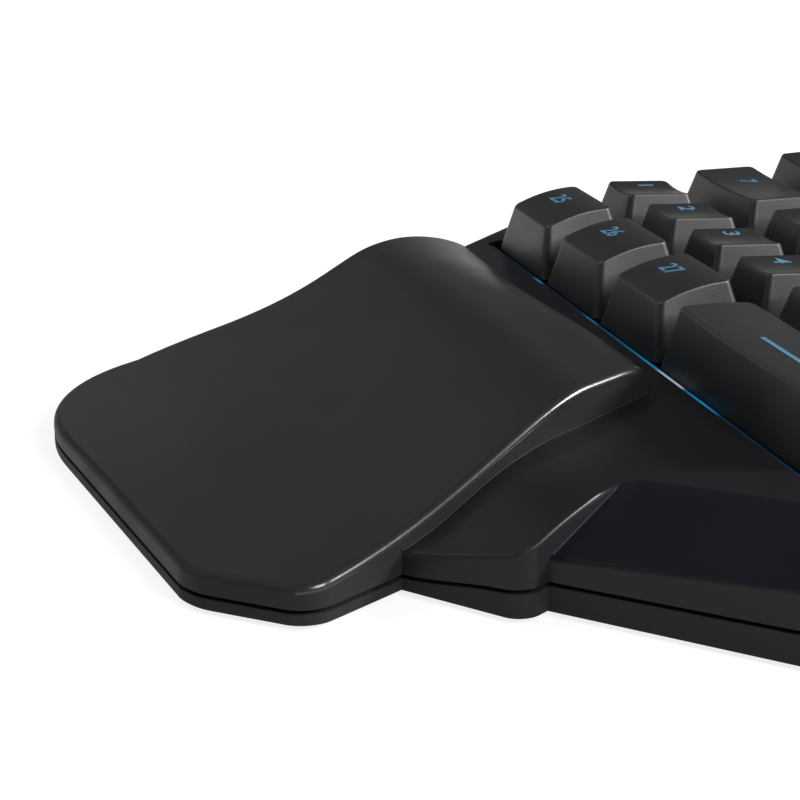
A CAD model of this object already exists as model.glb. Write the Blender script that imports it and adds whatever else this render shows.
"""Visible pieces of a one-handed gaming keypad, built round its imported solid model.

Lengths are in metres. Plan places are measured from the front left corner of the block of keys and
heights from the deck there, until DESK moves a piece to its place on the desk. The keys lie in a
plane of their own, which KEY_PLANE tilts.
"""

import math

import bmesh
import bpy
from bpy.props import FloatProperty, FloatVectorProperty, PointerProperty
from mathutils import Matrix, Vector
from mathutils.geometry import interpolate_bezier


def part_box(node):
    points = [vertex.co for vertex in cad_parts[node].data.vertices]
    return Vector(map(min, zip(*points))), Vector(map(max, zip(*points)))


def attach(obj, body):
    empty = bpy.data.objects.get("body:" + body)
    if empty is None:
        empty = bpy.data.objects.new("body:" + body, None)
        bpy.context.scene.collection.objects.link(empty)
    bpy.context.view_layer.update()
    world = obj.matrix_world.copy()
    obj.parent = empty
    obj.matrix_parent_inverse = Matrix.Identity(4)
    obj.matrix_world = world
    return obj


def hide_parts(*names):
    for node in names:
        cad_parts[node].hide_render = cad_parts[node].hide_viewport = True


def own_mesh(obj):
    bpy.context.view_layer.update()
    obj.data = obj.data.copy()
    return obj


bl_info = {
    "name": "Gaming Keypad",
    "version": (1, 0, 0),
    "blender": (4, 5, 0),
    "location": "View3D > Sidebar > Keypad",
    "description": "Builds the visible pieces of a one-handed keypad round its solid model",
    "category": "Object",
}

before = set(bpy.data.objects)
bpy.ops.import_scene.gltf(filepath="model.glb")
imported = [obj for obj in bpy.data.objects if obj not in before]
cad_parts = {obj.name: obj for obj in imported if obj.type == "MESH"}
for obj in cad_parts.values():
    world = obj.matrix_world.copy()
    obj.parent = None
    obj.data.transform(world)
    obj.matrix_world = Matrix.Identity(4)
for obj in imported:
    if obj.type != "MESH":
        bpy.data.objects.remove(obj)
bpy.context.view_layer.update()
COVER_LOW, COVER_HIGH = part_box("top_cover")

MM = 0.001
X_AXIS, Y_AXIS = Vector((1, 0, 0)), Vector((0, 1, 0))

# Block of keys: the widths of each row's keys in pitches, from the front row back.
KEY_PITCH = 19.05 * MM
ROWS = (
    ("bottom", (4 / 3, 4 / 3, 4 / 3, 2.75)),
    ("lower", (1, 1, 1, 1, 1, 1.75)),
    ("home", (1.75, 1, 1, 1, 1, 1)),
    ("upper", (1.5, 1, 1, 1, 1, 1.25)),
    ("number", (1, 1, 1, 1, 1, 1.75)),
)
BLOCK_WIDTH = sum(ROWS[0][1]) * KEY_PITCH
BLOCK_DEPTH = len(ROWS) * KEY_PITCH
KEY_TILT = math.radians(3.5)
KEY_GAP = 0.9 * MM
HALF_DEPTH = (KEY_PITCH - KEY_GAP) / 2

# Keycaps. A skirt dips under the deck, and the front and back edge of each row's top stand at a
# share of the height. The wide key has an arch and a bow of its own.
CAP_HEIGHT = 10.7 * MM
CAP_DIP = 0.78 * MM
CAP_WALL = 1.2 * MM
CAP_ROOF = 1.5 * MM
CAP_SIDE_TAPER = 3.4 * MM
CAP_FRONT_TAPER = 3.6 * MM
CAP_BACK_TAPER = 1.9 * MM
LOW_CAP_TAPER = 2.4 * MM
CAP_DISH = 0.6 * MM
CAP_ARCH = 0.8 * MM
SPACE_ARCH = 0.3 * MM
SPACE_BOW = 0.8 * MM
CAP_CORNER = 1.7 * MM
EDGE_HEIGHT_SHARES = {
    "bottom": (0.79, 0.99),
    "space": (0.97, 0.84),
    "lower": (1.0, 0.85),
    "home": (0.97, 0.89),
    "upper": (1.05, 1.01),
    "number": (1.12, 1.18),
}
STEM_RADIUS = 2.6 * MM
STEM_FOOT = 6 * MM
STEM_SIDES = 24
CAP_CUTS_PER_PITCH = 7
CAP_DEPTH_CUTS = 10

# Printed marks: plain numbers, and a line on the wide key. A digit's height is a share of its
# text's size. The marks are cut up this finely to follow the caps.
MARK_HEIGHT = 3.3 * MM
DIGIT_SHARE = 0.73
MARK_BOLD = 0.09 * MM
MARK_CURVE_STEPS = 4
MARK_CUT = 1 * MM
MARK_ROW_STARTS = {"lower": 1, "home": 7, "upper": 13, "number": 19, "bottom": 25}
MARK_PROUD = 0.02 * MM
MARK_DEPTH = 0.08 * MM
FRONT_MARK_PLACE = (-2.2 * MM, 0.6 * MM)
MARK_PLACE = (-3.2 * MM, 1.4 * MM)
LINE_PLACE = (99 * MM, 8.2 * MM)
LINE_SIZE = (13 * MM, 0.85 * MM)
LINE_CUTS = 12

# Plan of the case, in shares of the block's width and of the palm rest's reach.
LEFT_BEZEL = 14.5 * MM
RIGHT_BEZEL = 31.6 * MM
REAR_BEZEL = 12 * MM
PALM_REACH = 101.6 * MM
WING_ANGLE = math.radians(45)
REAR_CUT = 14 * MM
CORNER_RADIUS = 4 * MM
PALM_PLAN_SHARES = (
    (-0.0547, -0.03),
    (0.0638, 0.2953),
    (0.0933, 0.9904),
    (0.867, 0.8563),
    (0.9635, 0.7106),
    (0.6535, -0.03),
)
PALM_RADIUS_SHARES = (0, 0.246, 0.374, 0.0886, 0.059, 0)
NECK_PLAN_SHARES = ((0.0466, 0.1722), (0.622, 0.2362), (0.7807, 0.684))
WING_CORNER_SHARES = (1.0172, 0.4281)
WING_NOTCH_SHARES = (0.9978, 0.3848)
WING_TOP_SHARES = (0.9355, 0.248)
LEFT_START_SHARE = 0.13

# Heights of the case. Those along the palm rest and the wing are curves through shares. The palm
# rest's left side has a profile of its own, which changes to the other over PALM_LEFT_REACH.
CASE_DEPTH = 16 * MM
FOOT_PROUD = 0.8 * MM
FLOOR = 2.3 * MM
WALL = 2.2 * MM
PALM_CREST = 5 * MM
PALM_DROP = 10.1 * MM
PALM_FRONT_DROP = 10.4 * MM
PALM_END = 4.4 * MM
PALM_LEFT_CREST = 4.6 * MM
PALM_LEFT_DROP = 11.9 * MM
PALM_LEFT_REACH = 80 * MM
PALM_CUTS = 13
WING_DROP = 10 * MM
PALM_BACK_SHARES = ((0.061, -0.17), (0.0689, 0.68), (0.0778, 1), (0.133, 1))
PALM_FALL_SHARES = ((0.1969, 1), (0.3248, 1), (0.4921, -1), (0.7874, -1))
PALM_LEFT_BACK_SHARES = ((0.0551, -0.13), (0.0945, 0.43), (0.1673, 1), (0.2362, 1))
PALM_LEFT_FALL_SHARES = ((0.2362, 1), (0.3693, 1), (0.3329, -0.362), (0.7398, -1))
WING_FALL_SHARES = ((0.2165, 0.135), (0.4035, 0.13), (0.4331, 0.78), (0.5709, 1))
PARTING_FRONT = 13.9 * MM
PARTING_MIDDLE = 11.8 * MM
PARTING_REAR = 8 * MM
PARTING_STEP_SHARES = ((0.59, 1), (0.5, 1), (0.5, 0), (0.413, 0))
GROOVE = 0.7 * MM
LIP_WALL = 1.2 * MM
LIP_HEIGHT = 1.5 * MM
FACET_WIDTH = 18 * MM
REAR_FACET_WIDTH = 7.5 * MM
FACET_FRONT_DROP = 7.7 * MM
FACET_RIGHT_DROP = 4.1 * MM
FACET_REAR_RISE = 1.2 * MM
FACET_CUTS = 7
WELL_GAP = 1.3 * MM
WELL_WALL = 1.2 * MM
WELL_CORNER = 1.2 * MM
WELL_EDGE = 0.35 * MM
WELL_SHARE = 0.9
FRAME_DEPTH = 4.8 * MM
BEAD_RADIUS = 0.18 * MM
BEAD_END_SHARE = 0.07
SEAM_STEPS = 90
CREASE_STEPS = 8
CREASE_START = 0.04
CREASE_SHARE = 0.92

# Material slots of the upper cover. The palm rest's rim is rubbed where it faces the right by more
# than SIDE_TURN, beside the heel of the hand.
SLOTS = range(5)
SHELL, PALM, FACET, SIDE, RUBBED = SLOTS
SIDE_TURN = 0.2

# Slot light: how far in from the slot's front edge it falls off, and to what share, and places
# along the slot with the light's level and whiteness there.
GLOW_WIDTH = 1.2 * MM
GLOW_REST = 0.04
GLOW_STOPS = (
    (0, 0.001, 0), (0.175, 0.002, 0), (0.19, 0.24, 0), (0.205, 0.24, 0), (0.215, 0.006, 0),
    (0.36, 0.008, 0), (0.385, 0.17, 0), (0.405, 0.17, 0), (0.42, 0.045, 0), (0.5, 0.1, 0),
    (0.55, 0.2, 0), (0.61, 0.34, 0), (0.628, 0.36, 0.6), (0.682, 0.34, 0.75), (0.695, 0.16, 0),
    (0.715, 0.28, 0), (0.745, 0.34, 0), (0.775, 0.24, 0), (0.795, 0.02, 0), (1, 0.004, 0),
)

# Rubber domes: the opening in the sheet, and the share of the height left when folded.
DOME_OPENING = 4.8 * MM

# Feet, screws and inlet.
FOOT_RADIUS = 6 * MM
FOOT_RECESS = 0.9 * MM
FRONT_FOOT_SHARES = ((0.32, 0.82), (0.83, 0.77))
REAR_FOOT_SHARES = ((0.02, 0.93), (1.1, 0.93))
SCREW_RADIUS = 1.2 * MM
SCREW_HEAD_RADIUS = 2.5 * MM
SCREW_HEAD = 1.1 * MM
BOSS_RADIUS = 2.9 * MM
FRONT_SCREW_SHARES = ((0.28, 0.6), (0.82, 0.6))
MIDDLE_SCREW_SHARES = ((0.16, 0.26), (0.72, 0.26))
REAR_SCREW_SHARES = (0.02, 0.98)
INLET_RADIUS = 2.6 * MM
INLET_FLANGE_RADIUS = 3.6 * MM
INLET_FLANGE = 0.7 * MM
INLET_DEPTH = 3.3 * MM
INLET_SHARE = 0.8

# Gaps and reaches of the solids, and how finely they are rounded.
CLEAR = 0.3 * MM
NEAR = 0.01 * MM
OVERRUN = 5 * MM
TALL = 45 * MM
CURVE_STEPS = 28
ARC_STEP = math.radians(4)
SHARP = math.radians(35)
ROUND_SIDES = 48
EDGE_STEPS = 4
PALM_RIM_STEPS = 8
WELL_CORNER_STEPS = 6
WELL_EDGE_STEPS = 3
CAP_CORNER_STEPS = 7

# Sizes of patterns: handled patches of a surface, and spots of worn ink.
PATCH = 14 * MM
WORN_SPOT = 0.6 * MM

# A face's normal along Z: under UPRIGHT for a wall, from LEANING for a rounded rim, over UPWARD
# for any face that looks up, and over LEVEL for a flat top.
UPRIGHT = 0.02
LEANING = 0.05
UPWARD = 0.5
LEVEL = 0.99

RIGHT_EDGE = BLOCK_WIDTH + RIGHT_BEZEL
REAR_EDGE = BLOCK_DEPTH + REAR_BEZEL
DESK = Matrix.Translation(
    (COVER_LOW.x + LEFT_BEZEL, COVER_HIGH.y - REAR_EDGE, CASE_DEPTH + FOOT_PROUD)
)
KEY_PLANE = DESK @ Matrix.Rotation(KEY_TILT, 4, "X")

# Stage: the floor, how high over the horizon the white room turns dark, the camera, and each
# lamp's azimuth and elevation in degrees, and its width.
FLOOR_RADIUS = 4
FLOOR_SIDES = 96
PAPER_GLOW = 1.1
PAPER_SHADE = 0.25
HORIZON = (0.04, 0.24)
CAMERA_PLACE = Vector((291.22, -142.06, 125.07)) * MM
CAMERA_AZIMUTH = math.radians(72.288)
CAMERA_ELEVATION = math.radians(20.038)
LAMP_DISTANCE = 0.8
LAMPS = {
    "key_lamp": (18, 38, 0.3),
    "rim_lamp": (70, 30, 0.15),
    "fill_lamp": (250, 45, 0.3),
    "far_lamp": (195, 32, 0.3),
}


# Settings that a user would change.
def linear(code):
    """An sRGB hex colour as three linear values."""
    shares = [int(code[i:i + 2], 16) / 255 for i in (1, 3, 5)]
    return [c / 12.92 if c <= 0.04045 else ((c + 0.055) / 1.055) ** 2.4 for c in shares]


def length(name, description, default):
    return FloatProperty(name=name, description=description, default=default, min=0, unit="LENGTH")


def amount(name, description, default):
    return FloatProperty(name=name, description=description, default=default, min=0)


def colour(name, description, code):
    return FloatVectorProperty(
        name=name, description=description, default=linear(code), subtype="COLOR", size=3,
        min=0, max=1,
    )


class KeypadCaseSettings(bpy.types.PropertyGroup):
    """Sizes and colours of the two covers."""

    palm_rim: length("Palm rim", "Radius of the palm rest's rim", 1.3 * MM)
    edge: length("Edge", "Radius of the case's outer edges", 0.8 * MM)
    foot_edge: length("Lower edge", "Radius of the edge round the underside", 0.3 * MM)
    palm_colour: colour("Palm rest", "Colour of the soft coat", "#1c1c1d")
    shell_colour: colour("Shell", "Colour of the upper cover", "#161618")
    lower_colour: colour("Lower shell", "Colour of the lower cover", "#202022")
    facet_colour: colour("Facets", "Colour of the smooth facets", "#111217")


class KeypadKeySettings(bpy.types.PropertyGroup):
    """Sizes and colours of the keycaps and their marks."""

    edge: length("Edge", "Radius of a keycap's upper edges", 0.4 * MM)
    cap_colour: colour("Keycaps", "Colour of the keycaps", "#1b1b1c")
    mark_colour: colour("Marks", "Colour of the printed marks", "#3d667d")


class KeypadLightSettings(bpy.types.PropertyGroup):
    """The light in the slot in front of the keys."""

    glow_colour: colour("Glow", "Colour of the light", "#00a8e8")
    glow_strength: amount("Strength", "Strength of the light", 2.0)


class KeypadStageSettings(bpy.types.PropertyGroup):
    """The camera and the lamps round the keypad."""

    focal: FloatProperty(name="Focal length", description="In millimetres", default=90.38, min=1)
    key_lamp: amount("Key lamp", "Watts", 5.6)
    rim_lamp: amount("Rim lamp", "Watts", 11)
    fill_lamp: amount("Fill lamp", "Watts", 2)
    far_lamp: amount("Far lamp", "Watts", 0.14)
    sky: amount("Room light", "Strength on the keypad", 0.3)


# Plan and profiles of the case.
def in_front(shares):
    """A plan place in front of the keys."""
    return shares[0] * BLOCK_WIDTH, -shares[1] * PALM_REACH


def deck_height(y):
    return y * math.tan(KEY_TILT)


def curve(shares, height, low=None):
    """Points (y, z) along a curve whose shares are of the palm rest's reach and of a height.

    A share under zero is of low, where it is given."""
    points = []
    for along, up in shares:
        z = up * height if up >= 0 or low is None else up * low
        points.append(Vector((-along * PALM_REACH, z, 0)))
    return [(point.x, point.y) for point in interpolate_bezier(*points, CURVE_STEPS)]


def height_at(points, y):
    """The height at y on a line of (y, z) points that runs forwards."""
    for (back, high), (front, low) in zip(points, points[1:]):
        if y >= front:
            share = min(1, max(0, (y - back) / (front - back)))
            return high + (low - high) * share
    return points[-1][1]


def palm_line(back, fall, crest, drop, end):
    points = curve(back, crest) + curve(fall, crest, drop)
    return points + [(-PALM_REACH - OVERRUN, -end)]


PALM_LINE = palm_line(
    PALM_BACK_SHARES, PALM_FALL_SHARES, PALM_CREST, PALM_DROP, PALM_FRONT_DROP
)
PALM_LEFT_LINE = palm_line(
    PALM_LEFT_BACK_SHARES, PALM_LEFT_FALL_SHARES, PALM_LEFT_CREST, PALM_LEFT_DROP, PALM_LEFT_DROP
)
WING_LINE = curve(WING_FALL_SHARES, -WING_DROP)


def palm_height(x, y):
    """Height of the palm rest's top, whose profile changes gradually towards its left side."""
    share = min(1, max(0, x / PALM_LEFT_REACH))
    share = share * share * (3 - 2 * share)
    line = [
        (y1 + (y2 - y1) * share, z1 + (z2 - z1) * share)
        for (y1, z1), (y2, z2) in zip(PALM_LEFT_LINE, PALM_LINE)
    ]
    return height_at(line, y)


def wing_height(y):
    return deck_height(y) if y > WING_LINE[0][0] else height_at(WING_LINE, y)


def moved_in(corners, inset):
    """The (x, y, radius) corners of an outline that runs counterclockwise, moved inwards."""
    places = [Vector(corner[:2]) for corner in corners]
    ways = [(after - place).normalized() for place, after in zip(places, places[1:] + places[:1])]
    moved = []
    for i, (place, corner) in enumerate(zip(places, corners)):
        before, after = ways[i - 1], ways[i]
        bisector = (after - before).normalized()
        side = 1 if before.cross(after) > 0 else -1
        place = place + side * bisector * inset / abs(bisector.cross(after))
        radius = corner[2] and max(corner[2] - side * inset, corner[2] / 2)
        moved.append((place.x, place.y, radius))
    return moved


def palm_corners():
    """Corners of the palm rest, cut off at the back where its top has sunk into the deck."""
    corners = [
        (*in_front(place), radius * PALM_REACH)
        for place, radius in zip(PALM_PLAN_SHARES, PALM_RADIUS_SHARES)
    ]
    for end, beside in ((0, 1), (5, 4)):
        x, y, radius = corners[end]
        share = (-PALM_END - y) / (corners[beside][1] - y)
        corners[end] = (x + (corners[beside][0] - x) * share, -PALM_END, radius)
    return corners


def wing_turn():
    """Where the edge of the wing meets the right side."""
    x, y = in_front(WING_NOTCH_SHARES)
    return y + (RIGHT_EDGE - x) * math.tan(WING_ANGLE)


def case_corners():
    """Corners of the deck, wing and flank. The first three lie inside the palm rest."""
    inside = [(*in_front(place), 0) for place in NECK_PLAN_SHARES]
    return inside + [
        (*in_front(WING_CORNER_SHARES), CORNER_RADIUS),
        (*in_front(WING_NOTCH_SHARES), 0),
        (RIGHT_EDGE, wing_turn(), CORNER_RADIUS),
        (RIGHT_EDGE, REAR_EDGE - REAR_CUT, CORNER_RADIUS),
        (RIGHT_EDGE - REAR_CUT, REAR_EDGE, CORNER_RADIUS),
        (REAR_CUT - LEFT_BEZEL, REAR_EDGE, CORNER_RADIUS),
        (-LEFT_BEZEL, REAR_EDGE - REAR_CUT, CORNER_RADIUS),
        (-LEFT_BEZEL, LEFT_START_SHARE * BLOCK_DEPTH, CORNER_RADIUS),
    ]


# Mesh helpers.
def outwards(bm):
    bmesh.ops.recalc_face_normals(bm, faces=bm.faces[:])


def new_verts(made):
    return [item for item in made["geom"] if isinstance(item, bmesh.types.BMVert)]


def pulled(bm, faces, way):
    """Extrudes faces by a vector, and returns the vertices at the new end."""
    verts = new_verts(bmesh.ops.extrude_face_region(bm, geom=faces))
    bmesh.ops.translate(bm, verts=verts, vec=way)
    return verts


def cut(bm, axis, places):
    """Cuts the whole mesh across an axis at places along it, so that it can bend there."""
    for place in places:
        everything = bm.verts[:] + bm.edges[:] + bm.faces[:]
        bmesh.ops.bisect_plane(
            bm, geom=everything, dist=NEAR / 100, plane_co=axis * place, plane_no=axis
        )


def bevel(bm, edges, offset, steps):
    bmesh.ops.bevel(
        bm, geom=edges, offset=offset, segments=steps, profile=0.5, affect="EDGES", material=-1,
        clamp_overlap=False,
    )


def extruded(places, way):
    """A solid: a flat outline of places, extruded by a vector."""
    bm = bmesh.new()
    pulled(bm, [bm.faces.new([bm.verts.new(place) for place in places])], way)
    outwards(bm)
    return bm


def upright_prism(corners, bottom, top):
    bm = extruded([(x, y, bottom) for x, y, radius in corners], (0, 0, top - bottom))
    round_corners(bm, corners)
    return bm


def round_corners(bm, corners):
    """Rounds the upright edges at (x, y, radius) corners."""
    places = [Vector(corner[:2]) for corner in corners]
    for i, (x, y, radius) in enumerate(corners):
        if not radius:
            continue
        before = places[i] - places[i - 1]
        after = places[(i + 1) % len(places)] - places[i]
        turn = before.angle(after)
        upright = [
            edge for edge in bm.edges
            if all((vert.co.xy - places[i]).length < NEAR for vert in edge.verts)
        ]
        steps = max(3, math.ceil(turn / ARC_STEP))
        bevel(bm, upright, radius * math.tan(turn / 2), steps)


def rim_edges(bm, upward=True):
    """Convex edges between an upright wall and a face that looks up, or down."""
    sign = 1 if upward else -1
    found = []
    for edge in bm.edges:
        if len(edge.link_faces) != 2 or not edge.is_convex:
            continue
        wall, flat = sorted(edge.link_faces, key=lambda face: abs(face.normal.z))
        if abs(wall.normal.z) < UPRIGHT and sign * flat.normal.z > UPWARD:
            found.append(edge)
    return found


def as_mesh(name, bm):
    """Turns a bmesh into a mesh and frees it."""
    mesh = bpy.data.meshes.new(name)
    bm.to_mesh(mesh)
    bm.free()
    return mesh


def added(name, data):
    """A new object in the scene."""
    obj = bpy.data.objects.new(name, data)
    bpy.context.scene.collection.objects.link(obj)
    return obj


def mesh_of(data):
    """The mesh of a curve or a text."""
    obj = added(data.name, data)
    bpy.context.view_layer.update()
    mesh = bpy.data.meshes.new_from_object(obj)
    bpy.data.objects.remove(obj)
    return mesh


def temporary(name, bm):
    """A solid that is joined to another or cut from it, and then removed."""
    mesh = as_mesh(name, bm)
    for slot in SLOTS:
        mesh.materials.append(None)
    return added(name, mesh)


def combined(base, *steps):
    """The mesh of a solid after others are joined to it or cut from it, one by one."""
    solids = [base]
    for operation, *others in steps:
        for other in others:
            modifier = base.modifiers.new(other.name, "BOOLEAN")
            modifier.operation = operation
            modifier.solver = "EXACT"
            modifier.object = other
        solids += others
    bpy.context.view_layer.update()
    evaluated = base.evaluated_get(bpy.context.evaluated_depsgraph_get())
    mesh = bpy.data.meshes.new_from_object(evaluated)
    for obj in solids:
        bpy.data.objects.remove(obj)
    return mesh


def limited(base, *steps):
    """As combined, but the result is again a temporary solid."""
    return added(base.name + "_done", combined(base, *steps))


def side_of_parting(name, lift, far):
    """All that lies between the joint of the covers, moved up by lift, and the height far."""
    drop = PARTING_FRONT - PARTING_MIDDLE
    step = [
        Vector((-along * PALM_REACH, -PARTING_MIDDLE - share * drop, 0))
        for along, share in PARTING_STEP_SHARES
    ]
    front, rear = -PALM_REACH - OVERRUN, REAR_EDGE + OVERRUN
    line = [(point.x, point.y) for point in interpolate_bezier(*step, CURVE_STEPS)]
    line = [(front, -PARTING_FRONT), *line, (rear, -PARTING_REAR)]
    places = [(-TALL, y, z + lift) for y, z in line] + [(-TALL, rear, far), (-TALL, front, far)]
    return temporary(name, extruded(places, (RIGHT_EDGE + 2 * TALL, 0, 0)))


def add_post(bm, place, radius, bottom, top, sides=ROUND_SIDES):
    """An upright round post at an (x, y) place."""
    made = bmesh.ops.create_cone(
        bm, cap_ends=True, segments=sides, radius1=radius, radius2=radius, depth=top - bottom
    )["verts"]
    bmesh.ops.translate(bm, verts=made, vec=(*place, (bottom + top) / 2))


def posts(name, places, radius, bottom, top):
    bm = bmesh.new()
    for place in places:
        add_post(bm, place, radius, bottom, top)
    return temporary(name, bm)


def level_sheet():
    """A merged copy of the rubber sheet of the solid model, level as the key plane is."""
    bm = bmesh.new()
    bm.from_mesh(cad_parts["dome_sheet"].data)
    bmesh.ops.remove_doubles(bm, verts=bm.verts[:], dist=NEAR / 10)
    bmesh.ops.transform(bm, matrix=KEY_PLANE.inverted(), verts=bm.verts[:])
    return temporary("sheet", bm)


def finished(name, mesh, place, materials, body, slot, *nodes):
    """Adds a piece at its place, which stands for CAD nodes and rides on a body."""
    mesh.name = name
    mesh.transform(place)
    mesh.shade_smooth()
    mesh.set_sharp_from_angle(angle=SHARP)
    slots = [polygon.material_index for polygon in mesh.polygons]
    mesh.materials.clear()
    for material in materials:
        mesh.materials.append(material)
    mesh.polygons.foreach_set("material_index", slots)
    obj = added(name, mesh)
    even = obj.modifiers.new("even shading", "WEIGHTED_NORMAL")
    even.keep_sharp = True
    even.weight = 80
    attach(obj, body)
    if nodes:
        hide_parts(*nodes)
    return obj


# Solids of the case.
def case_cage(inset, bottom):
    """The deck, the wing tip and the facets as a cage of flat faces, with walls down to bottom.

    A wall stands on the line from the top of the wing's side edge to the notch, because the facets
    start lower than the wing tip there."""
    bm = bmesh.new()

    def at(place, height=None):
        x, y = place[:2]
        return bm.verts.new((x, y, (deck_height(y) if height is None else height) - inset))

    ring = moved_in(case_corners(), inset)
    turn = wing_turn()
    top, notch = Vector(in_front(WING_TOP_SHARES)), Vector(in_front(WING_NOTCH_SHARES))
    along = (notch - top).normalized()
    top -= Vector((-along.y, along.x)) * inset
    inner_x = RIGHT_EDGE - FACET_WIDTH
    inner_turn = turn + FACET_WIDTH * math.tan(WING_ANGLE / 2)
    bend = Vector((top.x, inner_turn - (inner_x - top.x) * math.tan(WING_ANGLE)))
    facing = Vector((math.sin(WING_ANGLE), -math.cos(WING_ANGLE)))
    foot = bend + (FACET_WIDTH - inset) * facing
    share = (foot.x - notch.x) / (RIGHT_EDGE - notch.x)
    foot_height = -FACET_FRONT_DROP + share * (FACET_FRONT_DROP - FACET_RIGHT_DROP)
    rear_inner = REAR_EDGE - REAR_FACET_WIDTH
    rear_turn = REAR_EDGE - REAR_CUT

    inside = [at(corner) for corner in ring[:4]]
    wing_corner = inside[-1]
    upper_notch = at(ring[4])
    low = [
        at(ring[4], -FACET_FRONT_DROP), at(foot, foot_height), at(ring[5], -FACET_RIGHT_DROP),
        at(ring[6], -FACET_RIGHT_DROP), at(ring[7], FACET_REAR_RISE), at(ring[8], FACET_REAR_RISE),
    ]
    crest = [
        at(top), at(bend), at((inner_x, inner_turn)), at((inner_x, rear_turn)),
        at((RIGHT_EDGE - REAR_CUT, rear_inner)), at((REAR_CUT - LEFT_BEZEL, rear_inner)),
    ]
    left = [at(ring[9]), at(ring[10])]
    bm.faces.new([*inside, upper_notch, *crest, *left])
    strips = [
        bm.faces.new((high, below, below_next, high_next))
        for high, below, below_next, high_next in zip(crest, low, low[1:], crest[1:])
    ]
    bm.faces.new((crest[-1], low[-1], left[0]))
    bm.faces.new((upper_notch, low[0], crest[0]))
    rim = [edge for edge in bm.edges if edge.is_boundary and upper_notch not in edge.verts]
    ends = new_verts(bmesh.ops.extrude_edge_only(bm, edges=rim))
    for vert in ends:
        vert.co.z = bottom
    feet = {
        over: next(vert for vert in ends if (vert.co.xy - over.co.xy).length < NEAR)
        for over in (wing_corner, low[0])
    }
    bm.faces.new((wing_corner, feet[wing_corner], feet[low[0]], low[0], upper_notch))
    bmesh.ops.holes_fill(bm, edges=[edge for edge in bm.edges if edge.is_boundary])
    outwards(bm)
    for face in strips:
        face.material_index = FACET
    strip_edges = {edge for face in strips for edge in face.edges}
    bmesh.ops.subdivide_edges(bm, edges=list(strip_edges), cuts=FACET_CUTS, use_grid_fill=True)
    round_corners(bm, ring)
    return bm, top


def dull_wing_rim(bm):
    """Gives the rounded front edge of the wing the finish of the sides."""
    bm.normal_update()
    for face in bm.faces:
        on_wing = face.calc_center_median().y < in_front(WING_NOTCH_SHARES)[1]
        if on_wing and LEANING < face.normal.z < LEVEL and face.normal.y < 0:
            face.material_index = SIDE


def lower_wing_tip(bm, top, inset=0):
    """Bends the wing tip down to its curved profile. The facets beside it stay where they are."""
    notch = Vector(in_front(WING_NOTCH_SHARES))
    along = (notch - top).normalized()
    aside = Vector((-along.y, along.x))
    cut(bm, Y_AXIS, [y for y, z in WING_LINE])
    for vert in bm.verts:
        x, y, z = vert.co
        if y >= WING_LINE[0][0] or z < -TALL / 2:
            continue
        beside = (vert.co.xy - top).dot(aside)
        share = (vert.co.xy - top).dot(along) / (notch - top).length
        facet = deck_height(top.y) - share * (FACET_FRONT_DROP + deck_height(top.y)) - inset
        on_deck = abs(z - deck_height(y) + inset) < NEAR
        if beside < -NEAR or on_deck or beside < NEAR and z > facet + NEAR:
            vert.co.z += wing_height(y) - deck_height(y)


def palm_solid(inset, rim):
    """The palm rest: a flat prism with a rounded rim, bent to the profile of its crown."""
    corners = moved_in(palm_corners(), inset)
    bm = upright_prism(corners, -TALL, 0)
    if rim:
        edges = [
            edge for edge in rim_edges(bm)
            if max(abs(vert.co.y + PALM_END) for vert in edge.verts) > NEAR
        ]
        bevel(bm, edges, rim, PALM_RIM_STEPS)
    bm.normal_update()
    for face in bm.faces:
        x, y, z = face.normal
        rubbed = z > LEANING and x > SIDE_TURN and y > -2 * SIDE_TURN * x
        face.material_index = PALM if abs(z) > LEVEL else RUBBED if rubbed else SIDE
    cut(bm, Y_AXIS, [y for y, z in PALM_LINE + PALM_LEFT_LINE])
    cut(bm, X_AXIS, [step * PALM_LEFT_REACH / PALM_CUTS for step in range(1, PALM_CUTS + 2)])
    for vert in bm.verts:
        x, y, z = vert.co
        if z > -TALL / 2:
            vert.co.z = z + palm_height(x, y) - inset
    return bm


def dig_well(bm):
    """Sinks a pit for the keys into the deck, deeper than the case, and rounds its edge."""
    normal = Vector((0, -math.sin(KEY_TILT), math.cos(KEY_TILT)))
    across = Vector((0, math.cos(KEY_TILT), math.sin(KEY_TILT)))
    low, right, back = -WELL_GAP, BLOCK_WIDTH + WELL_GAP, BLOCK_DEPTH + WELL_GAP
    cut(bm, X_AXIS, (low, right))
    cut(bm, across, (low, back))
    middle = [
        face for face in bm.faces
        if face.normal.dot(normal) > LEVEL
        and low < face.calc_center_median().x < right
        and low < face.calc_center_median().dot(across) < back
    ]
    sunk = set(pulled(bm, middle, -normal * TALL * WELL_SHARE))
    bmesh.ops.delete(bm, geom=middle, context="FACES")
    upright = [edge for edge in bm.edges if sum(vert in sunk for vert in edge.verts) == 1]
    bevel(bm, upright, WELL_CORNER, WELL_CORNER_STEPS)
    rim = []
    for edge in rim_edges(bm):
        place = (edge.verts[0].co + edge.verts[1].co) / 2
        beside = low - NEAR < place.x < right + NEAR
        if beside and low - NEAR < place.dot(across) < back + NEAR:
            rim.append(edge)
    bevel(bm, rim, WELL_EDGE, WELL_EDGE_STEPS)


def well_box():
    """A box round the walls of the well, down to just above the frame."""
    bm = bmesh.new()
    gap = WELL_GAP + WELL_WALL
    bottom, top = CLEAR - FRAME_DEPTH, TALL
    size = (BLOCK_WIDTH + 2 * gap, BLOCK_DEPTH + 2 * gap, top - bottom)
    middle = (BLOCK_WIDTH / 2, BLOCK_DEPTH / 2, (top + bottom) / 2)
    bmesh.ops.create_cube(bm, size=1)
    bmesh.ops.scale(bm, verts=bm.verts, vec=size)
    bmesh.ops.translate(bm, verts=bm.verts, vec=middle)
    bm.transform(Matrix.Rotation(KEY_TILT, 4, "X"))
    return temporary("well_walls", bm)


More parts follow.
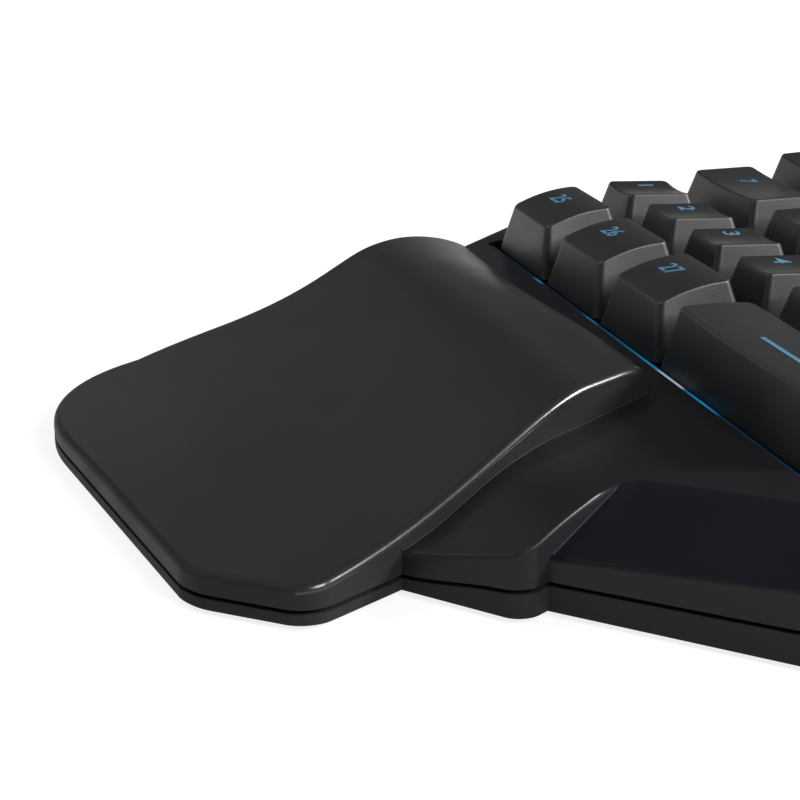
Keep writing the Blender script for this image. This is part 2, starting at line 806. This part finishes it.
def inlet_seat():
    """The stepped hole in the rear wall that takes the cable inlet, spun about its axis."""
    rim, bore = INLET_FLANGE_RADIUS + CLEAR, INLET_RADIUS + CLEAR
    step, end = -INLET_FLANGE - CLEAR, -WALL - OVERRUN
    profile = ((0, OVERRUN), (rim, OVERRUN), (rim, step), (bore, step), (bore, end), (0, end))
    bm = bmesh.new()
    verts = [bm.verts.new((radius, 0, height)) for radius, height in profile]
    edges = [bm.edges.new(pair) for pair in zip(verts, verts[1:])]
    bmesh.ops.spin(
        bm, geom=verts + edges, cent=(0, 0, 0), axis=(0, 0, 1), angle=math.tau,
        steps=ROUND_SIDES, use_merge=True,
    )
    bmesh.ops.remove_doubles(bm, verts=bm.verts[:], dist=NEAR / 10)
    outwards(bm)
    bm.transform(Matrix.Rotation(-math.pi / 2, 4, "X"))
    bm.transform(Matrix.Translation((INLET_SHARE * BLOCK_WIDTH, REAR_EDGE, -INLET_DEPTH)))
    return temporary("inlet_seat", bm)


def bead(places):
    """A hairline bead along a line of places."""
    data = bpy.data.curves.new("bead", "CURVE")
    data.dimensions = "3D"
    data.bevel_depth = BEAD_RADIUS
    data.bevel_resolution = 3
    data.use_fill_caps = True
    spline = data.splines.new("POLY")
    spline.points.add(len(places) - 1)
    for point, place in zip(spline.points, places):
        point.co = (*place, 1)
    mesh = mesh_of(data)
    for polygon in mesh.polygons:
        polygon.material_index = PALM
    return mesh


def seam_bead():
    """The bead along the foot of the palm rest's right wall."""
    palm = palm_corners()
    foot, end = Vector(palm[4][:2]), Vector(palm[5][:2])
    wing = [Vector(corner[:2]) for corner in case_corners()[2:4]]
    wall, front = end - foot, wing[1] - wing[0]
    start = (wing[0] - foot).cross(front) / wall.cross(front)
    stop = (-BEAD_END_SHARE * PALM_REACH - foot.y) / wall.y
    out = Vector((wall.y, -wall.x)).normalized() * BEAD_RADIUS / 2
    places = []
    for number in range(SEAM_STEPS + 1):
        place = foot + wall * (start + (stop - start) * number / SEAM_STEPS)
        places.append((*(place + out), wing_height(place.y) + BEAD_RADIUS / 4))
    return bead(places)


def crease_bead():
    """The bead in the crease between the wing's side and the facet beside it."""
    top, notch = in_front(WING_TOP_SHARES), in_front(WING_NOTCH_SHARES)
    high = Vector((*top, deck_height(top[1])))
    low = Vector((*notch, -FACET_FRONT_DROP))
    return bead([
        high.lerp(low, CREASE_START + CREASE_SHARE * number / CREASE_STEPS)
        for number in range(CREASE_STEPS + 1)
    ])


def foot_places():
    front = [in_front(place) for place in FRONT_FOOT_SHARES]
    return front + [(x * BLOCK_WIDTH, y * BLOCK_DEPTH) for x, y in REAR_FOOT_SHARES]


def case_screw_places():
    rear = REAR_EDGE - WALL - CLEAR - LIP_WALL - CLEAR - BOSS_RADIUS
    front = [in_front(place) for place in FRONT_SCREW_SHARES + MIDDLE_SCREW_SHARES]
    return front + [(share * BLOCK_WIDTH, rear) for share in REAR_SCREW_SHARES]


# Keys.
def key_places():
    """The name, row, middle (x, y) and width of each key."""
    for number, (row, widths) in enumerate(ROWS):
        for index, width in enumerate(widths):
            left = sum(widths[:index]) * KEY_PITCH
            middle = (left + width * KEY_PITCH / 2, (2 * number + 1) * KEY_PITCH / 2)
            if row == "bottom" and index == len(widths) - 1:
                yield "space_key", "space", middle, width * KEY_PITCH
            else:
                yield f"keycap_{row}_{index + 1}", row, middle, width * KEY_PITCH


def cap_top(row, u, v):
    """Height of a keycap's top at shares from -1 to 1 across and along it."""
    front, back = (share * CAP_HEIGHT for share in EDGE_HEIGHT_SHARES[row])
    arch = {"bottom": CAP_ARCH, "space": SPACE_ARCH}.get(row, 0)
    dish = 0 if row in ("bottom", "space") else CAP_DISH
    return front + (back - front) * (1 + v) / 2 + arch * (1 - v * v) - dish * (1 - u * u)


def cap_tapers(row):
    """How far a keycap's front and back lean in up to its top."""
    if row in ("bottom", "space"):
        return LOW_CAP_TAPER, LOW_CAP_TAPER
    return CAP_FRONT_TAPER, CAP_BACK_TAPER


def cap_place(row, width, u, v, up):
    """A place on a keycap from shares across and along it, and up from its skirt to its top."""
    front_taper, back_taper = cap_tapers(row)
    bow = SPACE_BOW if row == "space" else 0
    half_width = (width - KEY_GAP) / 2
    near, far = up * front_taper - HALF_DEPTH, HALF_DEPTH - up * back_taper
    back = (1 + v) / 2
    return Vector((
        u * (half_width - up * CAP_SIDE_TAPER),
        near + (far - near) * back - up * bow * (1 - u * u) * (1 - back),
        up * (cap_top(row, u, v) + CAP_DIP) - CAP_DIP,
    ))


def keycap_mesh(row, width, edge):
    """A keycap: a box with rounded edges and a hollow, drawn in and bent to the row's shape."""
    half = Vector(((width - KEY_GAP) / 2, HALF_DEPTH, CAP_HEIGHT / 2))
    bm = bmesh.new()
    bmesh.ops.create_cube(bm, size=2)
    bmesh.ops.translate(bm, verts=bm.verts, vec=(0, 0, 1))
    bmesh.ops.scale(bm, verts=bm.verts, vec=half)
    upright = [e for e in bm.edges if abs(e.verts[0].co.z - e.verts[1].co.z) > CAP_HEIGHT / 2]
    bevel(bm, upright, CAP_CORNER, CAP_CORNER_STEPS)
    bevel(bm, rim_edges(bm), edge, EDGE_STEPS)
    under = [face for face in bm.faces if face.normal.z < -LEVEL]
    bmesh.ops.inset_region(bm, faces=under, thickness=CAP_WALL, use_even_offset=True)
    under = [face for face in bm.faces if face.normal.z < -LEVEL and len(face.verts) > 4]
    pulled(bm, under, (0, 0, CAP_HEIGHT - CAP_ROOF))
    bmesh.ops.delete(bm, geom=under, context="FACES")
    cuts = max(CAP_CUTS_PER_PITCH + 1, round(width / KEY_PITCH * CAP_CUTS_PER_PITCH))
    for axis, half_size, count in ((X_AXIS, half.x, cuts), (Y_AXIS, half.y, CAP_DEPTH_CUTS)):
        cut(bm, axis, [half_size * (2 * number / count - 1) for number in range(1, count)])
    for vert in bm.verts:
        x, y, z = vert.co
        vert.co = cap_place(row, width, x / half.x, y / half.y, z / CAP_HEIGHT)
    stem_top = cap_top(row, 0, 0) - CAP_ROOF / 2
    add_post(bm, (0, 0), STEM_RADIUS, -STEM_FOOT, stem_top, STEM_SIDES)
    return as_mesh("keycap", bm)


def lay_on_cap(mesh, row, width):
    """Lays a flat mark on a keycap's top and gives it a little depth."""
    front_taper, back_taper = cap_tapers(row)
    half_width = (width - KEY_GAP) / 2 - CAP_SIDE_TAPER
    near, far = front_taper - HALF_DEPTH, HALF_DEPTH - back_taper
    bm = bmesh.new()
    bm.from_mesh(mesh)
    bmesh.ops.dissolve_limit(bm, angle_limit=0.01, verts=bm.verts[:], edges=bm.edges[:])
    reach = round((max(abs(vert.co.x) for vert in bm.verts) + KEY_PITCH) / MARK_CUT)
    for number in range(-reach, reach):
        cut(bm, X_AXIS, [number * MARK_CUT])
        if abs(number) * MARK_CUT < KEY_PITCH / 2:
            cut(bm, Y_AXIS, [number * MARK_CUT])
    upper = set(pulled(bm, bm.faces[:], (0, 0, 0)))
    for vert in bm.verts:
        v = 2 * (vert.co.y - near) / (far - near) - 1
        height = cap_top(row, vert.co.x / half_width, v)
        vert.co.z = height + (MARK_PROUD if vert in upper else MARK_PROUD - MARK_DEPTH)
    outwards(bm)
    bm.to_mesh(mesh)
    bm.free()


def number_mesh(text):
    """A number as a flat mesh about the origin."""
    data = bpy.data.curves.new("mark", "FONT")
    data.body = text
    data.size = MARK_HEIGHT / DIGIT_SHARE
    data.align_x = data.align_y = "CENTER"
    data.resolution_u = MARK_CURVE_STEPS
    data.offset = MARK_BOLD
    return mesh_of(data)


# Materials.
def feed(owner, node, inputs):
    """Gives a node's inputs their values, or the sockets that feed them."""
    for key, value in inputs.items():
        if isinstance(value, bpy.types.NodeSocket):
            owner.node_tree.links.new(value, node.inputs[key])
        else:
            node.inputs[key].default_value = value


def add_node(owner, kind, inputs=None, **settings):
    """Adds a shader node of a kind with its settings and what feeds it."""
    node = owner.node_tree.nodes.new("ShaderNode" + kind)
    for name, value in settings.items():
        setattr(node, name, value)
    feed(owner, node, inputs or {})
    return node


def shade(tint, level=1.0):
    """A linear colour as a node takes it, made darker or lighter."""
    return (*[c * level for c in tint], 1)


def new_material(name, inputs):
    material = bpy.data.materials.new(name)
    material.use_nodes = True
    shader = material.node_tree.nodes["Principled BSDF"]
    feed(material, shader, inputs)
    return material, shader


def grained(name, tint, roughness, width, depth, mottle=0.12, specular=0.5, ior=1.5, metal=0.0):
    """A surface whose fine grain, of a width and depth in millimetres, softens its gloss.

    Handling leaves its sheen uneven, by the share mottle, and its tone slightly so."""
    material, shader = new_material(name, {
        "Base Color": shade(tint), "Roughness": roughness, "IOR": ior,
        "Specular IOR Level": specular, "Metallic": metal,
    })
    place = add_node(material, "TexCoord").outputs["Object"]
    grain = {"Vector": place, "Scale": 1 / (width * MM), "Detail": 2.0, "Roughness": 0.6}
    height = add_node(material, "TexNoise", grain).outputs["Fac"]
    bump = add_node(
        material, "Bump", {"Height": height, "Distance": depth * MM, "Strength": 1}
    )
    patches = add_node(
        material, "TexNoise", {"Vector": place, "Scale": 1 / PATCH, "Detail": 3.0}
    ).outputs["Fac"]
    # The noise stays mostly between these two values.
    sheen = add_node(material, "MapRange", {
        "Value": patches, "From Min": 0.3, "From Max": 0.7,
        "To Min": roughness * (1 - mottle), "To Max": roughness * (1 + mottle),
    })
    tones = {"Factor": patches, 6: shade(tint, 0.92), 7: shade(tint, 1.08)}
    tone = add_node(material, "Mix", tones, data_type="RGBA")
    feed(material, shader, {
        "Normal": bump.outputs["Normal"], "Roughness": sheen.outputs["Result"],
        "Base Color": tone.outputs[2],
    })
    return material


def repaint(material, *names):
    """Gives CAD nodes that stay a better material."""
    for name in names:
        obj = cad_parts[name]
        obj.data.materials.clear()
        obj.data.materials.append(material)


# Operators, one for each group of pieces.
class KEYPAD_OT_upper_case(bpy.types.Operator):
    """Builds the upper cover: palm rest, deck, wing, facets and the well for the keys"""

    bl_idname = "keypad.upper_case"
    bl_label = "Upper case"

    def execute(self, context):
        sizes = context.scene.keypad_case
        bm, top = case_cage(0, -TALL)
        bevel(bm, rim_edges(bm), sizes.edge, EDGE_STEPS)
        dull_wing_rim(bm)
        dig_well(bm)
        lower_wing_tip(bm, top)
        case = temporary("case", bm)
        inner, inner_top = case_cage(WALL, -TALL - OVERRUN)
        lower_wing_tip(inner, inner_top, WALL)
        mesh = combined(
            case,
            ("UNION", temporary("palm", palm_solid(0, sizes.palm_rim))),
            (
                "DIFFERENCE",
                limited(temporary("hollow", inner), ("DIFFERENCE", well_box())),
                temporary("palm_hollow", palm_solid(WALL, 0)),
                side_of_parting("below_parting", GROOVE / 2, -TALL - 2 * OVERRUN),
                inlet_seat(),
            ),
        )
        bm = bmesh.new()
        for part in (mesh, seam_bead(), crease_bead()):
            bm.from_mesh(part)
        bm.to_mesh(mesh)
        bm.free()
        coat = sizes.palm_colour
        materials = (
            # Satin moulded ABS: an even near-black with a faint, broad sheen.
            grained("satin moulded ABS", sizes.shell_colour, 0.35, 0.35, 0.003, specular=0.14),
            # A soft-touch coat: a dull, warm black whose highlights spread wide and stay dim.
            grained("soft-touch coated ABS", coat, 0.4, 0.4, 0.003, 0.1, 0.17),
            # The facets come from a polished part of the mould: flat, bluish black planes.
            grained("smooth moulded ABS", sizes.facet_colour, 0.35, 0.35, 0.002, 0.1, 0.06),
            # The sides have a coarser grain under the coat, which takes their sheen away.
            grained("grained soft-touch ABS", coat, 0.52, 0.4, 0.004, 0.1, 0.1),
            # The rim beside the heel of the hand is rubbed smooth, so it draws a bright line.
            grained("rubbed soft-touch ABS", coat, 0.24, 0.4, 0.002, 0.1, 0.5),
        )
        finished("upper_case", mesh, DESK, materials, "case", "upper_case", "top_cover")
        return {"FINISHED"}


class KEYPAD_OT_lower_case(bpy.types.Operator):
    """Builds the lower cover, a tray with seats for the feet and the screws"""

    bl_idname = "keypad.lower_case"
    bl_label = "Lower case"

    def execute(self, context):
        sizes = context.scene.keypad_case
        floor = -CASE_DEPTH

        def outlines(name, inset, bottom, edge=0):
            solids = []
            for label, corners in (("case", case_corners()), ("palm", palm_corners())):
                bm = upright_prism(moved_in(corners, inset), bottom, TALL)
                if edge:
                    bevel(bm, rim_edges(bm, upward=False), edge, EDGE_STEPS)
                solids.append(temporary(f"{name}_{label}", bm))
            return solids

        case, palm = outlines("cover", 0, floor, sizes.foot_edge)
        lip_case, lip_palm = outlines("lip", WALL + CLEAR, floor + FLOOR / 2)
        lip = limited(
            lip_case, ("UNION", lip_palm),
            ("DIFFERENCE", side_of_parting("above_lip", LIP_HEIGHT, TALL + OVERRUN)),
        )
        tray_case, tray_palm = outlines("tray", WALL + CLEAR + LIP_WALL, floor + FLOOR)
        screws = case_screw_places()
        seats = [
            posts(name, places, radius + CLEAR, -TALL, floor + height)
            for name, places, radius, height in (
                ("foot_seats", foot_places(), FOOT_RADIUS, FOOT_RECESS),
                ("screw_seats", screws, SCREW_HEAD_RADIUS, SCREW_HEAD + CLEAR),
                ("screw_holes", screws, SCREW_RADIUS, OVERRUN),
            )
        ]
        mesh = combined(
            case,
            ("UNION", palm),
            ("DIFFERENCE", side_of_parting("above_parting", -GROOVE / 2, TALL + OVERRUN)),
            ("UNION", lip),
            ("DIFFERENCE", tray_case, tray_palm, *seats),
        )
        # Matt moulded ABS: a grey black band that shows hardly any highlight.
        shell = grained("matt moulded ABS", sizes.lower_colour, 0.6, 0.35, 0.004, specular=0.07)
        finished("lower_case", mesh, DESK, (shell,), "case", "lower_case", "bottom_cover")
        return {"FINISHED"}


class KEYPAD_OT_keycaps(bpy.types.Operator):
    """Builds the 28 keycaps"""

    bl_idname = "keypad.keycaps"
    bl_label = "Keycaps"

    def execute(self, context):
        sizes = context.scene.keypad_keys
        # Moulded PBT with a spark-eroded grain: a dry dark grey that catches light in fine specks.
        cap = grained("moulded PBT", sizes.cap_colour, 0.42, 0.35, 0.02, specular=0.34, ior=1.57)
        meshes = {}
        for name, row, middle, width in key_places():
            if (row, width) not in meshes:
                meshes[row, width] = keycap_mesh(row, width, sizes.edge)
            mesh = meshes[row, width].copy()
            place = KEY_PLANE @ Matrix.Translation((*middle, 0))
            finished(f"{name}_cap", mesh, place, (cap,), name, "keycaps", name)
        return {"FINISHED"}


class KEYPAD_OT_marks(bpy.types.Operator):
    """Prints plain numbers on the keycaps, and a line on the wide key"""

    bl_idname = "keypad.marks"
    bl_label = "Printed marks"

    def execute(self, context):
        sizes = context.scene.keypad_keys
        # Ink under a clear coat: flat blue with a slight sheen, a little worn in spots.
        tint = sizes.mark_colour
        ink, shader = new_material("printed ink", {"Base Color": shade(tint), "Roughness": 0.45})
        place = add_node(ink, "TexCoord").outputs["Object"]
        wear = add_node(ink, "TexNoise", {"Vector": place, "Scale": 1 / WORN_SPOT})
        tones = {"Factor": wear.outputs["Fac"], 6: shade(tint, 0.8), 7: shade(tint, 1.2)}
        tone = add_node(ink, "Mix", tones, data_type="RGBA")
        feed(ink, shader, {"Base Color": tone.outputs[2]})
        for name, row, middle, width in key_places():
            if row == "space":
                bm = bmesh.new()
                bmesh.ops.create_grid(bm, x_segments=LINE_CUTS, y_segments=2, size=0.5)
                bmesh.ops.scale(bm, verts=bm.verts, vec=(*LINE_SIZE, 1))
                mesh = as_mesh("line", bm)
                shift = (LINE_PLACE[0] + LINE_SIZE[0] / 2 - middle[0], LINE_PLACE[1] - middle[1])
            else:
                number = MARK_ROW_STARTS[row] + int(name.rsplit("_", 1)[1]) - 1
                mesh = number_mesh(str(number))
                shift = FRONT_MARK_PLACE if row == "bottom" else MARK_PLACE
            mesh.transform(Matrix.Translation((*shift, 0)))
            lay_on_cap(mesh, row, width)
            place = KEY_PLANE @ Matrix.Translation((*middle, 0))
            finished(f"{name}_mark", mesh, place, (ink,), name, "keycaps")
        return {"FINISHED"}


class KEYPAD_OT_light(bpy.types.Operator):
    """Lights the bar in the slot in front of the keys"""

    bl_idname = "keypad.light"
    bl_label = "Slot light"

    def execute(self, context):
        settings = context.scene.keypad_light
        tint = settings.glow_colour
        # Translucent acrylic over small lamps: blue, brightest over the nearest lamps.
        glow, shader = new_material("lit blue acrylic", {
            "Base Color": shade(tint, 0.04), "Roughness": 0.3, "Specular IOR Level": 0.2,
            "Emission Strength": settings.glow_strength,
        })
        place = add_node(glow, "TexCoord").outputs["Object"]
        axes = add_node(glow, "SeparateXYZ", {"Vector": place})
        left, front = DESK.translation.x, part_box("light_bar")[0].y
        span = {"Value": axes.outputs["X"], "From Min": left, "From Max": left + BLOCK_WIDTH}
        along = add_node(glow, "MapRange", span)
        ramp = add_node(glow, "ValToRGB", {"Fac": along.outputs["Result"]})
        elements = ramp.color_ramp.elements
        while len(elements) < len(GLOW_STOPS):
            elements.new(0.5)
        for element, (where, level, white) in zip(elements, GLOW_STOPS):
            element.position = where
            element.color = (*[level * (c + (1 - c) * white) for c in tint], 1)
        depth = {
            "Value": axes.outputs["Y"], "From Min": front, "From Max": front + GLOW_WIDTH,
            "To Min": 1, "To Max": GLOW_REST,
        }
        near = add_node(glow, "MapRange", depth, interpolation_type="SMOOTHSTEP")
        lit = {0: ramp.outputs["Color"], "Scale": near.outputs["Result"]}
        lit = add_node(glow, "VectorMath", lit, operation="SCALE").outputs["Vector"]
        feed(glow, shader, {"Emission Color": lit})
        repaint(glow, "light_bar")
        return {"FINISHED"}


class KEYPAD_OT_domes(bpy.types.Operator):
    """Gives every key a rubber dome of its own, which folds flat as the key is pressed"""

    bl_idname = "keypad.domes"
    bl_label = "Rubber domes"

    def execute(self, context):
        # Moulded silicone rubber: cloudy white with a dull, soft surface.
        silicone = grained("moulded silicone", linear("#cfcfc8"), 0.6, 0.8, 0.004)
        finish = ((silicone,), "case", "dome_rubber", "dome_sheet")
        middles = {name: middle for name, row, middle, width in key_places()}
        openings = posts("openings", middles.values(), DOME_OPENING, -TALL, TALL)
        finished("dome_base", combined(level_sheet(), ("DIFFERENCE", openings)), KEY_PLANE, *finish)
        for name, middle in middles.items():
            around = posts("around", [middle], DOME_OPENING, -TALL, TALL)
            mesh = combined(level_sheet(), ("INTERSECT", around))
            dome = finished(f"{name}_dome", mesh, KEY_PLANE, *finish)
            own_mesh(dome)
        return {"FINISHED"}


class KEYPAD_OT_inner_parts(bpy.types.Operator):
    """Gives the parts that stay as they are in the solid model their materials"""

    bl_idname = "keypad.inner_parts"
    bl_label = "Inner parts"

    def execute(self, context):
        feet = [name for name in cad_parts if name.startswith("foot_")]
        screws = [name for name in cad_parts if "screw" in name]
        for name, code, roughness, width, depth, metal, nodes in (
            # Rubber from a plain mould: black, with no gloss to speak of.
            ("moulded rubber", "#161616", 0.75, 0.5, 0.01, 0, [*feet, "cable_inlet"]),
            # Glass-filled nylon: black, and a little waxy.
            (
                "moulded nylon", "#141415", 0.5, 0.5, 0.006, 0,
                ["key_frame", "tail_clamp", "controller_chip"],
            ),
            # Unfilled nylon: an off-white, dull and even.
            ("white nylon", "#d5d5cf", 0.5, 0.8, 0.004, 0, ["cable_header", "led_strip"]),
            # Rolled film: grey-blue and glossy, and almost flat.
            ("polyester film", "#7f97a3", 0.2, 2, 0.001, 0, ["membrane", "light_guide"]),
            # Solder mask over glass fibre: green, with a wet gloss.
            ("coated circuit board", "#0d4a25", 0.3, 1, 0.004, 0, ["controller_board"]),
            # Zinc over rolled steel: a grey metal with a soft shine.
            (
                "zinc plated steel", "#9a9ca0", 0.3, 0.6, 0.002, 1,
                [*screws, "back_plate", "space_wire"],
            ),
        ):
            repaint(grained(name, linear(code), roughness, width, depth, metal=metal), *nodes)
        return {"FINISHED"}


class KEYPAD_OT_stage(bpy.types.Operator):
    """Adds the floor, the lamps, the room and the camera"""

    bl_idname = "keypad.stage"
    bl_label = "Stage"

    def execute(self, context):
        settings = context.scene.keypad_stage
        bm = bmesh.new()
        bmesh.ops.create_circle(bm, cap_ends=True, segments=FLOOR_SIDES, radius=FLOOR_RADIUS)
        floor = added("floor", as_mesh("floor", bm))
        floor.data.materials.append(self.paper())
        context.scene.world = self.room(settings.sky)
        for name, (azimuth, elevation, size) in LAMPS.items():
            self.add_lamp(name, azimuth, elevation, size, getattr(settings, name))

        data = bpy.data.cameras.new("camera")
        data.lens = settings.focal
        data.sensor_width = 36
        data.clip_start = 0.01
        camera = added("camera", data)
        camera.location = CAMERA_PLACE
        camera.rotation_euler = (math.pi / 2 - CAMERA_ELEVATION, 0, CAMERA_AZIMUTH)
        context.scene.camera = camera
        context.scene.view_settings.view_transform = "Standard"
        return {"FINISHED"}

    @staticmethod
    def seen_directly(owner):
        """1 for what is seen, straight or in metal, gloss and glass, and 0 for room light."""
        rays = add_node(owner, "LightPath").outputs
        seen = rays["Is Camera Ray"]
        for other in ("Is Glossy Ray", "Is Transmission Ray"):
            either = {0: seen, 1: rays[other]}
            seen = add_node(owner, "Math", either, operation="MAXIMUM").outputs["Value"]
        return seen

    def paper(self):
        """White paper: matt, and lit up where it is seen, so that only a faint shadow is left.

        From below it is clear, so that the underside of the keypad can be looked at."""
        paper = bpy.data.materials.new("white paper")
        paper.use_nodes = True
        paper.node_tree.nodes.clear()
        seen = self.seen_directly(paper)
        white = shade(linear("#ffffff"))
        matt = add_node(paper, "BsdfDiffuse", {"Color": shade(linear("#e7e7e7"))}).outputs[0]
        lit = add_node(paper, "Emission", {"Color": white, "Strength": PAPER_GLOW}).outputs[0]
        both = add_node(paper, "MixShader", {0: PAPER_SHADE, 1: lit, 2: matt}).outputs[0]
        above = add_node(paper, "MixShader", {0: seen, 1: matt, 2: both}).outputs[0]
        clear = add_node(paper, "BsdfTransparent").outputs[0]
        behind = add_node(paper, "NewGeometry").outputs["Backfacing"]
        ends = add_node(paper, "MixShader", {0: behind, 1: above, 2: clear}).outputs[0]
        add_node(paper, "OutputMaterial", {"Surface": ends})
        return paper

    def room(self, strength):
        """A white room up to just over the horizon and dark above, whose own light is even."""
        room = bpy.data.worlds.new("room")
        room.use_nodes = True
        room.node_tree.nodes.clear()
        seen = self.seen_directly(room)
        white = shade(linear("#ffffff"))
        place = add_node(room, "TexCoord").outputs["Generated"]
        up = add_node(room, "SeparateXYZ", {"Vector": place}).outputs["Z"]
        span = {"Value": up, "From Min": HORIZON[0], "From Max": HORIZON[1]}
        share = add_node(room, "MapRange", span, interpolation_type="SMOOTHSTEP").outputs["Result"]
        tones = {"Factor": share, 6: white, 7: shade(linear("#454548"))}
        tint = add_node(room, "Mix", tones, data_type="RGBA").outputs[2]
        far = add_node(room, "Background", {"Color": tint, "Strength": 1.0}).outputs[0]
        even = add_node(room, "Background", {"Color": white, "Strength": strength}).outputs[0]
        both = add_node(room, "MixShader", {0: seen, 1: even, 2: far}).outputs[0]
        add_node(room, "OutputWorld", {"Surface": both})
        return room

    @staticmethod
    def add_lamp(name, azimuth, elevation, size, power):
        """A square lamp, turned to the keypad. Its azimuth runs counterclockwise from +X."""
        data = bpy.data.lights.new(name, "AREA")
        data.size = size
        data.energy = power
        lamp = added(name, data)
        azimuth, elevation = math.radians(azimuth), math.radians(elevation)
        turn = Matrix.Rotation(azimuth, 4, "Z") @ Matrix.Rotation(-elevation, 4, "Y")
        lamp.location = turn @ Vector((LAMP_DISTANCE, 0, 0))
        lamp.rotation_euler = (-lamp.location).to_track_quat("-Z", "Y").to_euler()


class KEYPAD_PT_sidebar(bpy.types.Panel):
    """Lists the operators and the settings of the keypad"""

    bl_idname = "KEYPAD_PT_sidebar"
    bl_label = "Keypad"
    bl_space_type = "VIEW_3D"
    bl_region_type = "UI"
    bl_category = "Keypad"

    def draw(self, context):
        scene = context.scene
        for group in (scene.keypad_case, scene.keypad_keys, scene.keypad_light, scene.keypad_stage):
            for name in group.bl_rna.properties.keys():
                if name not in ("rna_type", "name"):
                    self.layout.prop(group, name)
        for operator in OPERATORS:
            self.layout.operator(operator.bl_idname)


SETTINGS = {
    "keypad_case": KeypadCaseSettings,
    "keypad_keys": KeypadKeySettings,
    "keypad_light": KeypadLightSettings,
    "keypad_stage": KeypadStageSettings,
}
OPERATORS = (
    KEYPAD_OT_upper_case,
    KEYPAD_OT_lower_case,
    KEYPAD_OT_keycaps,
    KEYPAD_OT_marks,
    KEYPAD_OT_light,
    KEYPAD_OT_domes,
    KEYPAD_OT_inner_parts,
    KEYPAD_OT_stage,
)


def register():
    for cls in (*SETTINGS.values(), *OPERATORS, KEYPAD_PT_sidebar):
        bpy.utils.register_class(cls)
    for name, cls in SETTINGS.items():
        setattr(bpy.types.Scene, name, PointerProperty(type=cls))


def unregister():
    for name in SETTINGS:
        delattr(bpy.types.Scene, name)
    for cls in (KEYPAD_PT_sidebar, *reversed(OPERATORS), *reversed(SETTINGS.values())):
        bpy.utils.unregister_class(cls)


def main():
    register()
    bpy.ops.keypad.upper_case()
    bpy.ops.keypad.lower_case()
    bpy.ops.keypad.keycaps()
    bpy.ops.keypad.marks()
    bpy.ops.keypad.light()
    bpy.ops.keypad.domes()
    bpy.ops.keypad.inner_parts()
    bpy.ops.keypad.stage()


if __name__ == "__main__":
    main()
